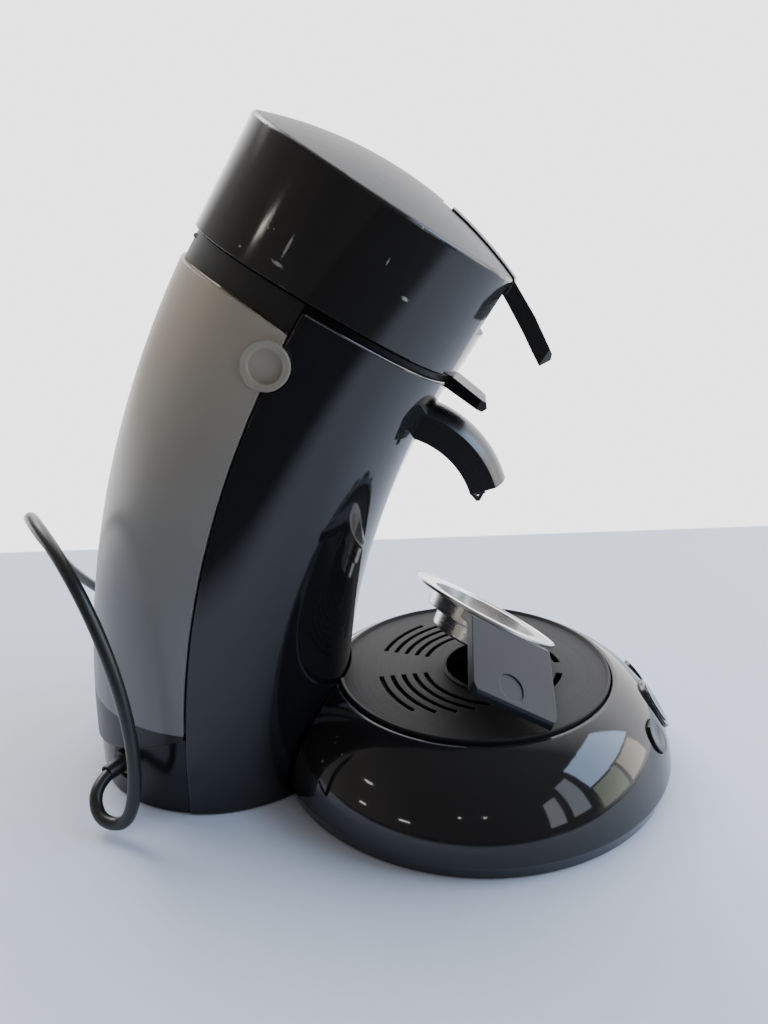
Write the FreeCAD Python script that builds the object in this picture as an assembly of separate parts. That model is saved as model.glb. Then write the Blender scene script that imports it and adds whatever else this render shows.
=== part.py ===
import FreeCAD, Part
import math
import os

os.makedirs("parts", exist_ok=True)

# Driving sizes in millimetres. X to the right seen from the front, front is -Y, Z up.
DEPTH = 315.0           # dome front to tank back
DOME_R = 106.5          # widest radius of the base dome
COLUMN_R = 69.0         # leaning column
TANK_R = 69.6           # tank stands a little proud of the column
COLLAR_R = 67.6         # collar over the tank
SKIRT_R = 68.2          # skirt under the tank
LID_R = 70.0            # round lid
LEAN = 33.0             # lean of the head from the vertical, degrees
BEND_R = 440.0          # radius of the column's curved spine
SPINE_Z = 8.0           # height where the spine starts to bend
WALL = 2.8              # moulded walls
FIT = 0.4               # gap between fixed mouldings
SLIP = 0.7              # gap between pieces that move
CORE_R = 44.0           # round core that the tank wraps
TANK_WALL = 2.2
TANK_EDGE = 2.4         # front edge of the tank behind the column's middle
TANK_BACK_Z = 20.0      # underside of the tank at its back
TANK_FRONT_Z = 43.5     # underside of the tank at its front edge
LID_H = 51.4            # side of the lid
LID_CROWN = 13.0        # rise of the lid's crown
SEAM_ARCH_R = 650.0     # seam under the lid bows upward in side view
SEAM_MID, SEAM_TOP = -20.0, 2.6
TOP_ARCH_R = 225.0      # bowed top edge of the tank
TOP_MID, TOP_TOP = 15.0, -12.5
SEAM_GAP = 1.2          # lid to what lies under it
RIM_H = 3.4             # visible height of the chamber rim
RIM_BACK = 6.6          # depth of the rim's flange inside the column
GRATE_R, GRATE_Z = 72.9, 50.2
GRATE_T = 2.7
HOLE_R, HOLE_Y = 27.0, -64.0
WELL_SLOPE_Z = 27.0     # well cone: z = r - 27
BUTTON_R, POWER_R, BUTTON_TRAVEL = 8.5, 10.5, 1.5
LEVER_W, LEVER_PIN = 36.0, (-28.0, 55.4)
HINGE = (63.6, -7.2)    # lid hinge axis in the head frame, inside the collar
HINGE_R, PIN_R, PIN_FIT = 2.6, 1.2, 0.06
GRIP_R = 10.6           # tank's round finger grip
TONGUE_W = 25.0         # chamber's front tongue
LEVER_UP = 1.0          # lever's skin stands this much over the lid's crown
DISH_R, DISH_STEP1, DISH_STEP2 = 41.5, (30.0, 10.5), (22.5, 20.0)
DISH_T = 1.0
CORD_R = 3.2

V = FreeCAD.Vector
X_AXIS = V(1, 0, 0)
DOME_Y = DOME_R - DEPTH / 2
PHI0 = math.asin((TANK_BACK_Z - SPINE_Z) / (BEND_R + TANK_R))
COLUMN_Y = DEPTH / 2 - TANK_R + (BEND_R + TANK_R) * (1 - math.cos(PHI0))
LEAN_RAD = math.radians(LEAN)
HEAD = V(0, COLUMN_Y - BEND_R * (1 - math.cos(LEAN_RAD)), SPINE_Z + BEND_R * math.sin(LEAN_RAD))
BEND_AXIS = V(0, COLUMN_Y - BEND_R, SPINE_Z)
nodes = {}


def box(x0, x1, y0, y1, z0, z1):
    return Part.makeBox(x1 - x0, y1 - y0, z1 - z0, V(x0, y0, z0))


def cyl(r, h, base, axis=V(0, 0, 1)):
    return Part.makeCylinder(r, h, base, axis)


def ring(r_out, r_in, h, base, axis=V(0, 0, 1)):
    return cyl(r_out, h, base, axis).cut(cyl(r_in, h, base, axis))


def line(a, b):
    return Part.LineSegment(a, b).toShape()


def arc(a, b, c):
    return Part.Arc(a, b, c).toShape()


def head(shape):
    """Move a piece from the head's frame, X right, Y back along the seam, Z along the lid's axis."""
    out = shape.copy()
    out.Placement = FreeCAD.Placement(HEAD, FreeCAD.Rotation(X_AXIS, LEAN)).multiply(out.Placement)
    return out


def along_spine(shape, phi):
    """Move a piece standing on the origin to the column's spine, turned to the lean there."""
    t = math.radians(phi)
    at = V(0, COLUMN_Y - BEND_R * (1 - math.cos(t)), SPINE_Z + BEND_R * math.sin(t))
    out = shape.copy()
    out.Placement = FreeCAD.Placement(at, FreeCAD.Rotation(X_AXIS, phi)).multiply(out.Placement)
    return out


def disc_face(r, y=0.0):
    edge = Part.makeCircle(r, V(0, COLUMN_Y + y, SPINE_Z))
    return Part.Face(Part.Wire(edge))


def rect_face(x0, x1, v0, v1):
    pts = [V(x, COLUMN_Y + v, SPINE_Z) for x, v in ((x0, v0), (x1, v0), (x1, v1), (x0, v1), (x0, v0))]
    return Part.Face(Part.makePolygon(pts))


def bent(face, phi):
    """Sweep a column section down to the table and up the bent spine."""
    up = face.revolve(BEND_AXIS, X_AXIS, phi)
    down = face.extrude(V(0, 0, -SPINE_Z))
    return up.fuse(down).removeSplitter()


def arch(drop, radius=SEAM_ARCH_R, mid=SEAM_MID, top=SEAM_TOP):
    """Everything under a bowed seam, lowered by drop, as a lying cylinder in world place."""
    return head(cyl(radius - drop, 400, V(-200, mid, top - radius), X_AXIS))


def top_arch(drop):
    return arch(drop, TOP_ARCH_R, TOP_MID, TOP_TOP)


def half(face, v0, rear):
    keep = rect_face(-150, 150, v0, 150) if rear else rect_face(-150, 150, -150, v0)
    return face.common(keep)


def revolve_profile(edges, centre_y=0.0):
    face = Part.Face(Part.Wire(edges))
    solid = face.revolve(V(0, 0, 0), V(0, 0, 1), 360)
    solid.translate(V(0, centre_y, 0))
    return solid


def chain(points):
    """Closed edges in the XZ half plane from (r, z) points; a pair (mid, end) makes an arc."""
    edges, here = [], V(points[0][0], 0, points[0][1])
    first = here
    for p in points[1:]:
        if isinstance(p[0], tuple):
            mid, end = V(p[0][0], 0, p[0][1]), V(p[1][0], 0, p[1][1])
            edges.append(arc(here, mid, end))
        else:
            end = V(p[0], 0, p[1])
            edges.append(line(here, end))
        here = end
    edges.append(line(here, first))
    return edges


def side_plate(points, x0, x1):
    """Extrude a closed (y, z) outline along X."""
    pts = [V(x0, y, z) for y, z in points]
    return Part.Face(Part.makePolygon(pts + [pts[0]])).extrude(V(x1 - x0, 0, 0))


def circle_through(a, b, c):
    ax, ay, bx, by, cx, cy = *a, *b, *c
    d = 2 * (ax * (by - cy) + bx * (cy - ay) + cx * (ay - by))
    ux = ((ax**2 + ay**2) * (by - cy) + (bx**2 + by**2) * (cy - ay) + (cx**2 + cy**2) * (ay - by)) / d
    uy = ((ax**2 + ay**2) * (cx - bx) + (bx**2 + by**2) * (ax - cx) + (cx**2 + cy**2) * (bx - ax)) / d
    return ux, uy, math.hypot(ax - ux, ay - uy)


# Base dome: one revolved moulding with a conical well for the drip bowl.
DOME_ARC = ((GRATE_R + 3.0, GRATE_Z - 0.6), (DOME_R - 10.0, 33.0), (DOME_R, 8.0))
ARC_R, ARC_Z, ARC_RAD = circle_through(*DOME_ARC)


def column_room(gap):
    """Upright room that keeps the base pieces clear of the leaning column."""
    return cyl(COLUMN_R + gap + 1.0, 80, V(0, COLUMN_Y - 1.6, -10))


def on_dome(azimuth, elevation, depth=0.0):
    """Placement on the dome with local Z along the outward normal."""
    e = math.radians(elevation)
    r, z = ARC_R + (ARC_RAD - depth) * math.cos(e), ARC_Z + (ARC_RAD - depth) * math.sin(e)
    turn = FreeCAD.Rotation(V(0, 0, 1), azimuth).multiply(FreeCAD.Rotation(X_AXIS, 90 - elevation))
    at = FreeCAD.Rotation(V(0, 0, 1), azimuth).multVec(V(0, -r, z))
    return FreeCAD.Placement(at + V(0, DOME_Y, 0), turn)


BUTTON_ELEV = 33.0
BUTTONS = {"button_power": (0.0, POWER_R), "button_one_cup": (-19.0, BUTTON_R),
           "button_two_cup": (19.0, BUTTON_R)}


def placed(shape, placement):
    out = shape.copy()
    out.Placement = placement.multiply(out.Placement)
    return out


def base_cover():
    a, m, b = DOME_ARC
    well_r, well_z = 51.0, 51.0 - WELL_SLOPE_Z
    lip = GRATE_R + 1.0
    inner_m, inner_b = (m[0] - 2.2, m[1] - 1.9), (b[0] - WALL, b[1])
    under = 2.5
    prof = [(0, well_z), (well_r, well_z), (lip, lip - WELL_SLOPE_Z), (lip, a[1]), a, (m, b),
            (DOME_R - 1.9, 0.8), (DOME_R - 1.9 - WALL, 0.8), inner_b,
            (inner_m, (a[0] - 0.2, a[1] - 3.7)), (well_r + 0.4, well_z - under), (0, well_z - under)]
    shell = revolve_profile(chain(prof), DOME_Y).cut(column_room(0.0))
    for name, (az, r) in BUTTONS.items():
        gap = 3.6 if name == "button_power" else FIT
        shell = shell.cut(placed(cyl(r + gap, 14, V(0, 0, -10)), on_dome(az, BUTTON_ELEV)))
    return shell


def button(az, r):
    cap = cyl(r, 4.6, V(0, 0, -3.6))
    dish = Part.makeSphere(40, V(0, 0, 40.5))
    stem = cyl(2.4, 2.8, V(0, 0, -8.4))
    rim = ring(r + 1.2, 1.0, 0.9, V(0, 0, -5.6)) if r == BUTTON_R else cyl(r, 0.9, V(0, 0, -5.6))
    skirt = cyl(r - 0.4, 1.4, V(0, 0, -4.8))
    return placed(cap.cut(dish).fuse([stem, rim, skirt]).removeSplitter(), on_dome(az, BUTTON_ELEV))


def power_ring():
    light = ring(POWER_R + 3.3, POWER_R + 0.35, 3.4, V(0, 0, -3.0))
    return placed(light, on_dome(0.0, BUTTON_ELEV))


def button_carrier():
    """Plate behind the dome that guides the three stems."""
    plates = [placed(ring(r + 3.4, 2.5, 1.6, V(0, 0, -9.6)), on_dome(az, BUTTON_ELEV))
              for az, r in BUTTONS.values()]
    bars = []
    for az in (-9.5, 9.5):
        bars.append(placed(box(-11, 11, -3, 3, -11.2, -7.6), on_dome(az, BUTTON_ELEV)))
    legs = []
    for az, r in list(BUTTONS.values())[1:]:
        at = on_dome(az, BUTTON_ELEV).multVec(V(0, -r - 1.4, -8.8))
        legs.append(box(at.x - 4, at.x + 4, at.y - 0.5, at.y + 5, 3.9, at.z + 1.2))
    return plates[0].fuse(plates[1:] + bars + legs).removeSplitter()


def control_board():
    return box(-30, 30, DOME_Y - 62, DOME_Y - 60.4, 3.9, 21.0)


def drip_bowl():
    shift = 0.7
    top = GRATE_Z - GRATE_T - 0.3
    out_r, out_z = 51.0, 51.0 - WELL_SLOPE_Z + 0.3
    k = WELL_SLOPE_Z - shift
    prof = [(0, out_z), (out_z + k, out_z), (top - 0.6 + k, top - 0.6), (top - 0.6 + k, top),
            (70.4, top), (out_z + 2.2 + k - 3.3, out_z + 2.2), (0, out_z + 2.2)]
    return revolve_profile(chain(prof), DOME_Y).cut(column_room(SLIP))


def sector_slot(radius, width, start, end):
    """Annular slot through the grate round the hole's centre, angles from +Y."""
    slot = ring(radius + width / 2, radius - width / 2, 12, V(0, 0, GRATE_Z - 6))
    wedge = Part.makeCylinder(radius + 10, 12, V(0, 0, GRATE_Z - 6), V(0, 0, 1), end - start)
    wedge.rotate(V(0, 0, 0), V(0, 0, 1), 90 + start)
    out = slot.common(wedge)
    out.translate(V(0, HOLE_Y, 0))
    return out


def drip_grate():
    z0 = GRATE_Z - GRATE_T
    k = GRATE_R
    prof = [(0, z0), (64.5, z0), (64.5, z0 - 1.8), (67.0, z0 - 1.8), (67.0, z0), (k, z0), (k, GRATE_Z + 0.5),
            ((k - 0.3, GRATE_Z + 1.2), (k - 1.2, GRATE_Z + 1.3)), (k - 2.6, GRATE_Z), (0, GRATE_Z)]
    plate = revolve_profile(chain(prof), DOME_Y).cut(column_room(SLIP))
    lip = ring(HOLE_R + 2.4, HOLE_R, GRATE_T + 0.9, V(0, HOLE_Y, z0))
    plate = plate.fuse(lip).cut(cyl(HOLE_R, 12, V(0, HOLE_Y, z0 - 5)))
    slots = [sector_slot(33.4, 3.4, side + 118, side + 170) for side in (-288, 0)]
    for i in range(5):
        r = 39.0 + 6.0 * i
        reach = 84 - 9 * i
        slots += [sector_slot(r, 2.4, 13, reach), sector_slot(r, 2.4, -reach, -13)]
    return plate.cut(Part.makeCompound(slots)).removeSplitter()


# Column: every wall is a section swept along the same bent spine.
def spout_room():
    return spout_sweep(FIT, SPOUT_ROOT - 20, SPOUT_END)


def column_shell():
    face = half(disc_face(COLUMN_R).cut(disc_face(COLUMN_R - WALL)), TANK_EDGE - 1.0, False)
    shell = bent(face, LEAN + 4).common(arch(SEAM_GAP + RIM_H))
    for side in (-1, 1):
        shell = shell.cut(grip_boss(side, GRIP_R + SLIP, 60, 75))
    shell = shell.cut(spout_room()).cut(tongue(0.6)).cut(box(-120, 120, -60, 220, -5, 0.8))
    return shell.cut(box(-31, 31, 0, 40, -1, 4.2))


def bay_wall():
    tube = bent(half(disc_face(CORE_R).cut(disc_face(CORE_R - 2)), -0.6, True), LEAN + 4)
    edge = TANK_EDGE - 1.0
    reach = (CORE_R - 1.5, COLUMN_R - WALL - 0.2)
    flats = [bent(rect_face(*sorted((s * reach[0], s * reach[1])), -0.6, edge), LEAN + 4) for s in (-1, 1)]
    wall = tube.fuse(flats).common(arch(SEAM_GAP + RIM_BACK + 0.3)).common(box(-90, 90, -60, 200, 3.9, 330))
    for side in (-1, 1):
        wall = wall.cut(grip_boss(side, GRIP_R + SLIP, 60, 75))
    return wall.cut(suction_tube(3.0, "wall_hole")).removeSplitter()


def slope_room(drop):
    """Everything under the tank's sloping underside, lowered by drop."""
    y0, y1 = COLUMN_Y + TANK_EDGE, COLUMN_Y + TANK_R
    rise = (TANK_BACK_Z - TANK_FRONT_Z) / (y1 - y0)
    ya, yb = y0 - 40, y1 + 40
    za, zb = TANK_FRONT_Z - 40 * rise - drop, TANK_BACK_Z + 40 * rise - drop
    return side_plate([(ya, -30), (yb, -30), (yb, zb), (ya, za)], -120, 120)


def rear_skirt():
    v0 = TANK_EDGE - 0.6
    outer = bent(half(disc_face(SKIRT_R).cut(disc_face(CORE_R + FIT)), v0, True), 7).common(slope_room(SLIP))
    hollow = bent(half(disc_face(SKIRT_R - WALL).cut(disc_face(CORE_R + 2.4)), v0 + WALL, True), 7)
    hollow = hollow.common(slope_room(SLIP + 2.6))
    skirt = outer.cut(hollow).cut(box(-120, 120, -50, 220, -5, 0.8))
    at, out = gland_place()
    recess = cyl(13.0, 9.0, at - out * 1.9 + V(0, 0, 4), out)
    skirt = skirt.cut(recess)
    skirt = skirt.cut(cyl(4.7, 30, at - out * 15, out))
    seat = cyl(8.0 + 0.1, 12, V(0, COLUMN_Y + 56.5, valve_z() - 9))
    skirt = skirt.cut(cyl(COLUMN_R - WALL - FIT + 0.3, 10, V(0, COLUMN_Y, -5.8)))
    return skirt.cut(seat).cut(suction_tube(3.0, "skirt_hole"))


def valve_z():
    y0, y1 = COLUMN_Y + TANK_EDGE, COLUMN_Y + TANK_R
    return TANK_FRONT_Z + (TANK_BACK_Z - TANK_FRONT_Z) * (COLUMN_Y + 56.5 - y0) / (y1 - y0)


def seat_seal():
    seal = ring(8.0, 4.0, 12, V(0, COLUMN_Y + 56.5, valve_z() - 9))
    return seal.common(slope_room(0.4)).cut(slope_room(SLIP + 2.8))


def crescent(out_r, in_r, v0):
    return half(disc_face(out_r).cut(disc_face(in_r)), v0, True)


def grip_boss(side, r, x0, x1):
    """Round finger grip at the tank's front edge, as a cylinder along X."""
    at = FreeCAD.Rotation(X_AXIS, LEAN).multVec(V(0, 3.8, -29.2)) + HEAD
    return cyl(r, x1 - x0, V(side * x0, at.y, at.z), V(side, 0, 0))


def water_tank():
    body = bent(crescent(TANK_R, CORE_R + 1.8, TANK_EDGE), LEAN + 4).common(top_arch(0.8))
    w = TANK_WALL
    inner = bent(crescent(TANK_R - w, CORE_R + 1.8 + w, TANK_EDGE + w), LEAN + 6)
    inner = inner.cut(slope_room(-w))
    tank = body.cut(slope_room(0)).cut(inner)
    for side in (-1, 1):
        boss = grip_boss(side, GRIP_R, 66.3, 71.2)
        pad = boss.cut(grip_boss(side, GRIP_R - 3.2, 69.6, 75))
        tank = tank.fuse(pad)
    hole = cyl(7.0, 20, V(0, COLUMN_Y + 56.5, valve_z() - 10))
    return tank.cut(hole).removeSplitter()


def tank_valve():
    base = V(0, COLUMN_Y + 56.5, valve_z() - 8)
    plug = cyl(6.9, 22, base).cut(slope_room(0.0)).common(slope_room(-4.0))
    cap = cyl(8.8, 22, base).cut(slope_room(-TANK_WALL - 0.05)).common(slope_room(-4.0))
    post = cyl(3.0, 14, base + V(0, 0, 10))
    return plug.fuse([cap, post]).cut(cyl(1.6, 40, base - V(0, 0, 5))).removeSplitter()


def rear_collar():
    ring_solid = head(ring(COLLAR_R, CORE_R + FIT, 60, V(0, 0, -40)))
    keep = head(box(-100, 100, TANK_EDGE - 0.4, 100, -50, 30))
    collar = ring_solid.common(keep).common(arch(SEAM_GAP)).cut(top_arch(0.0))
    h_v, h_w = HINGE
    relief = box(-8.7, 8.7, h_v - HINGE_R - SLIP, 80, h_w - HINGE_R - 1.8, 20)
    bore = cyl(PIN_R + PIN_FIT, 80, V(-40, h_v, h_w), X_AXIS)
    return collar.cut(head(relief)).cut(head(bore)).removeSplitter()


# Head: chamber, tongue, lid and lever in the head's own frame.
def tongue(gap):
    t = 6.0
    k = 68.0
    pts = [(-k + 26 - gap, -6.4 - gap), (-k, -6.4 - gap), (-89.5 - gap, -7.6 - gap), (-91.0 - gap, -5.0),
           (-89.0 - gap, -2.6 + gap), (-k, -6.4 + t + gap), (-k + 26 - gap, -6.4 + t + gap)]
    w = TONGUE_W / 2 + gap
    plan = [(-w, -30), (-w, -86 - gap), (-w + 4.5, -92 - gap), (w - 4.5, -92 - gap), (w, -86 - gap), (w, -30)]
    outline = Part.Face(Part.makePolygon([V(x, y, -20) for x, y in plan + plan[:1]])).extrude(V(0, 0, 40))
    return head(side_plate(pts, -w, w).common(outline))


def brew_chamber():
    r_in, r_cup, deep = DISH_R + 0.9, DISH_STEP1[0] + 4.0, -34.0
    prof = [(0, deep - 2.4), (r_cup - 9, deep - 2.4), (r_cup + 2.4, deep + 9), (r_cup + 2.4, -12.0),
            (COLUMN_R - 1.2, -12.0), (COLUMN_R - 1.2, 4), (r_in, 4), (r_in, -5.6), (r_cup, -5.6),
            (r_cup, deep + 10), (r_cup - 10, deep), (0, deep)]
    bowl = revolve_profile(chain(prof))
    rear = box(-100, 100, TANK_EDGE - 0.8, 100, -60, 30).cut(cyl(CORE_R, 100, V(0, 0, -60)))
    bowl = head(bowl.cut(rear)).common(arch(SEAM_GAP))
    under = arch(SEAM_GAP + RIM_BACK).cut(head(cyl(r_cup + 2.4, 120, V(0, 0, -100))))
    step = arch(SEAM_GAP + RIM_H - FIT).cut(head(cyl(COLUMN_R - WALL - FIT, 120, V(0, 0, -100))))
    chamber = bowl.cut(under).cut(step)
    outlet = head(ring(9.0, 6.5, 12, V(0, -12, deep - 12)))
    chamber = chamber.fuse(outlet).cut(head(cyl(6.5, 20, V(0, -12, deep - 13))))
    chamber = chamber.fuse(tongue(0.0).cut(head(cyl(r_in, 60, V(0, 0, -30)))))
    nose_room = head(box(-10.0, 10.0, -63.0, -52.0, -1.6, 20))
    return chamber.cut(nose_room).removeSplitter()


def lid_crown(r, w0, edge_w, top_w, edge):
    """Solid of the lid's outside: straight side, eased edge and a crowned top."""
    rise = top_w - edge_w
    mid_w = edge_w + rise * 0.78
    prof = [(0, w0), (r, w0), (r, edge_w - edge),
            ((r - edge * 0.3, edge_w - edge * 0.3), (r - edge, edge_w + 0.35)),
            ((r * 0.47, mid_w), (0, top_w))]
    return revolve_profile(chain(prof))


def lever_room(gap):
    """Room of the lever in the lid: a slot over the crown, wider at the back."""
    w = LEVER_W / 2 + gap
    pts = [(-23.0 + gap, 80), (-23.0 + gap, 57.4 - gap), (-66.0, 44.6 - gap),
           (-90.0, 37.0 - gap), (-90.0, 80)]
    return side_plate(pts, -w, w)


def lid_shell():
    outer = lid_crown(LID_R, -12.0, LID_H, LID_H + LID_CROWN, 1.6)
    inner = lid_crown(LID_R - WALL, -13.0, LID_H - WALL, LID_H + LID_CROWN - WALL, 1.2)
    shell = head(outer.cut(inner)).cut(arch(0.0))
    shell = shell.cut(head(lever_room(0.5)))
    window = box(-24, 24, -90, -55, 23, 47.5)
    shell = shell.cut(head(window))
    h_v, h_w = HINGE
    knuckle = cyl(HINGE_R, 16.0, V(-8.0, h_v, h_w), X_AXIS)
    stem = box(-8.0, 8.0, h_v - 0.9, h_v + 1.5, h_w, 0.8)
    foot = box(-8.0, 8.0, h_v - 0.9, LID_R - WALL + 0.8, -2.6, 0.8)
    shell = shell.fuse(head(knuckle.fuse([stem, foot])))
    return shell.cut(head(cyl(PIN_R + 0.02, 80, V(-40, h_v, h_w), X_AXIS))).removeSplitter()


def lid_hinge_pin():
    return head(cyl(PIN_R, 46.4, V(-23.2, HINGE[0], HINGE[1]), X_AXIS))


def lid_liner():
    plate = cyl(LID_R - WALL - 0.1, 3.0, V(0, 0, 4.0))
    boss = cyl(37.0, 4.6, V(0, 0, 0.0)).fuse(cyl(30.0, 4.0, V(0, 0, 7.0)))
    groove = ring(35.6, 32.4, 3.0, V(0, 0, 0.0))
    ribs = [box(-1.2, 1.2, -48, 62, 7.0, 14.0), box(-62, 62, -1.2, 1.2, 7.0, 14.0)]
    liner = plate.fuse([boss] + ribs).cut(groove).cut(cyl(27.2, 1.6, V(0, 0, 0)))
    return head(liner.cut(cyl(2.2, 30, V(0, 0, -5))).removeSplitter())


def lid_seal():
    return head(ring(35.5, 32.5, 6.0, V(0, 0, -3.1)))


def shower_disc():
    disc = cyl(27.0, 1.2, V(0, 0, 0.3))
    holes = []
    for r, n in ((7.0, 6), (13.0, 10), (19.5, 14)):
        holes += [cyl(1.0, 4, V(r * math.cos(2 * math.pi * i / n), r * math.sin(2 * math.pi * i / n), -1))
                  for i in range(n)]
    return head(disc.cut(Part.makeCompound(holes)))


def latch_housing():
    """Dark tray under the lever, seen through the window in the lid's front."""
    pts = [(-21.0, 55.6), (-65.0, 42.6), (-65.0, 21.0), (-45.0, 21.0), (-36.0, 38.0), (-21.0, 43.0)]
    block = side_plate(pts, -23.6, 23.6).common(cyl(LID_R - WALL - 0.2, 90, V(0, 0, 0)))
    pocket = side_plate([(-75, 39.5), (-56, 37.5), (-52, 25.0), (-75, 25.0)], -19, 19)
    stem = box(-10, 10, -62, -50, 7.05, 21.5)
    v, w = LEVER_PIN
    room = box(-LEVER_W / 2 - 0.5, LEVER_W / 2 + 0.5, v - 8.0, v + 5.2, w - 5.0, w + 20)
    bore = cyl(1.5 + 0.01, 60, V(-30, v, w), X_AXIS)
    cheeks = [box(*sorted((s * (LEVER_W / 2 + 0.5), s * 22.4)), v - 5, v + 5, 45.0, w + 1.4) for s in (-1, 1)]
    return head(block.cut(pocket).fuse([stem] + cheeks).cut(room).cut(bore).removeSplitter())


def lever_pin():
    return head(cyl(1.5, LEVER_W + 8, V(-LEVER_W / 2 - 4, LEVER_PIN[0], LEVER_PIN[1]), X_AXIS))


def lid_lever():
    """Thin plate that follows the crown, then runs out into the thumb tab."""
    outer = lid_crown(LID_R, 0.0, LID_H + LEVER_UP, LID_H + LID_CROWN + LEVER_UP, 1.6)
    w = LEVER_W / 2
    skin = outer.common(lever_room(0.0)).common(box(-w, w, -70, LEVER_PIN[0] + 0.6, 30, 80))
    tab = side_plate([(-60.0, 53.4), (-66.5, 51.8), (-84.5, 43.2), (-101.4, 33.2), (-102.6, 30.4),
                      (-99.4, 25.4), (-94.0, 28.4), (-83.0, 34.8), (-71.0, 41.2), (-60.0, 46.6)], -w, w)
    taper = Part.Face(Part.makePolygon([V(x, y, 0) for x, y in (
        (-w, -20), (-w, -66), (-13, -99), (-10, -104), (10, -104), (13, -99), (w, -66), (w, -20),
        (-w, -20))]))
    tab = tab.common(taper.extrude(V(0, 0, 90)))
    v, wz = LEVER_PIN
    eye = cyl(4.4, LEVER_W, V(-w, v, wz), X_AXIS)
    lever = skin.fuse([tab, eye]).common(outer.fuse(tab))
    return head(lever.cut(cyl(1.5 + PIN_FIT, 60, V(-30, v, wz), X_AXIS)).removeSplitter())


def latch_nose():
    """Sprung nose at the lid's front that snaps past the rim as the lid shuts."""
    nose = side_plate([(-61, 4.0), (-61, 1.4), (-59.5, -0.2), (-57, -0.2), (-54, 2.0), (-54, 4.0)], -9, 9)
    return head(nose)


# Spout: an oval section swept round an axis along X, as a hood with a channel inside it.
SPOUT_C, SPOUT_BEND = V(0, COLUMN_Y - 96.04, 140.0), 50.0
SPOUT_X = 14.0                                       # half width
SPOUT_LOW, SPOUT_SIDE, SPOUT_TOP = 42.6, 55.4, 60.8  # floor, shoulder and crown from the bend's axis
SPOUT_ROOT, SPOUT_END = 100.0, 163.5


def spout_sweep(grow, start, end):
    """Flat-sided section with a crowned top, grown all round, swept from start to end degrees from +Y."""
    x, low, side, top = SPOUT_X + grow, SPOUT_LOW - grow, SPOUT_SIDE + 0.5 * grow, SPOUT_TOP + grow
    corners = [V(-x, low, 0), V(x, low, 0), V(x, side, 0), V(-x, side, 0)]
    edges = [line(corners[0], corners[1]), line(corners[1], corners[2]),
             arc(corners[2], V(0, top, 0), corners[3]), line(corners[3], corners[0])]
    face = Part.Face(Part.Wire(edges))
    face.rotate(V(0, 0, 0), X_AXIS, start)
    out = face.revolve(V(0, 0, 0), X_AXIS, end - start)
    out.translate(SPOUT_C)
    return out


def by_spout(pts):
    return [(SPOUT_C.y + y, SPOUT_C.z + z) for y, z in pts]


def spout_hood():
    return spout_sweep(0.0, SPOUT_ROOT, SPOUT_END).cut(spout_sweep(-2.2, SPOUT_ROOT - 9, SPOUT_END + 9))


def spout_channel():
    bore = spout_sweep(-4.0, SPOUT_ROOT - 9, SPOUT_END + 9)
    shell = spout_sweep(-2.3, SPOUT_ROOT + 0.3, SPOUT_END + 2).cut(bore)
    upper = cyl(SPOUT_BEND + 40, 80, SPOUT_C - V(40, 0, 0), X_AXIS).cut(
        cyl(SPOUT_BEND, 80, SPOUT_C - V(40, 0, 0), X_AXIS))
    return shell.cut(upper)


def spout_nozzle():
    loop = side_plate(by_spout([(-40.9, 10.6), (-48.2, 12.5), (-48.7, 10.6), (-45.7, 4.9), (-44.0, 4.9),
                                (-40.4, 9.2)]), -1.3, 1.3)
    eye = side_plate(by_spout([(-42.2, 9.4), (-47.0, 10.7), (-44.9, 6.9)]), -2, 2)
    return loop.cut(eye).cut(spout_channel())


def spout_socket():
    """Sleeve inside the column that carries the spout and meets the chamber's outlet."""
    sleeve = spout_sweep(2.2, SPOUT_ROOT - 3, SPOUT_ROOT + 22).cut(spout_sweep(0.15, SPOUT_ROOT, SPOUT_END))
    sleeve = sleeve.cut(spout_sweep(-4.0, SPOUT_ROOT - 9, SPOUT_END))
    y, z = SPOUT_C.y, SPOUT_C.z
    wall = box(-26, 26, y - 9.5, y - 7.5, z + 32, z + 72).cut(spout_sweep(2.0, SPOUT_ROOT - 20, SPOUT_END))
    inside = bent(disc_face(COLUMN_R - WALL - 0.15), LEAN)
    return sleeve.fuse(wall).common(inside).removeSplitter()


# Works inside the core.
def boiler_bracket():
    plate = cyl(CORE_R - 2.3, 2.5, V(0, 0, 0)).cut(cyl(8, 9, V(0, 0, -2)))
    return along_spine(plate, 12.0)


def boiler():
    prof = [(0, 2.6), (24, 2.6), ((27.2, 4.0), (28, 7.0)), (28, 70), ((27.0, 74.0), (23, 75.5)), (0, 75.5)]
    return along_spine(revolve_profile(chain(prof)), 12.0)


def thermostat():
    return along_spine(cyl(9, 8, V(0, 0, 75.6)).fuse(cyl(4, 4, V(0, 0, 83.6))), 12.0)


def pump_mount():
    return box(-24, 24, COLUMN_Y - 34, COLUMN_Y + 22, 3.8, 12.0)


def pump():
    body = box(-20, 20, COLUMN_Y - 30, COLUMN_Y + 4, 12.1, 52)
    head_end = cyl(13, 22, V(0, COLUMN_Y + 4, 32), V(0, 1, 0))
    return body.fuse(head_end).fuse(cyl(4, 8, V(0, COLUMN_Y - 20, 52))).removeSplitter()


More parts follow.
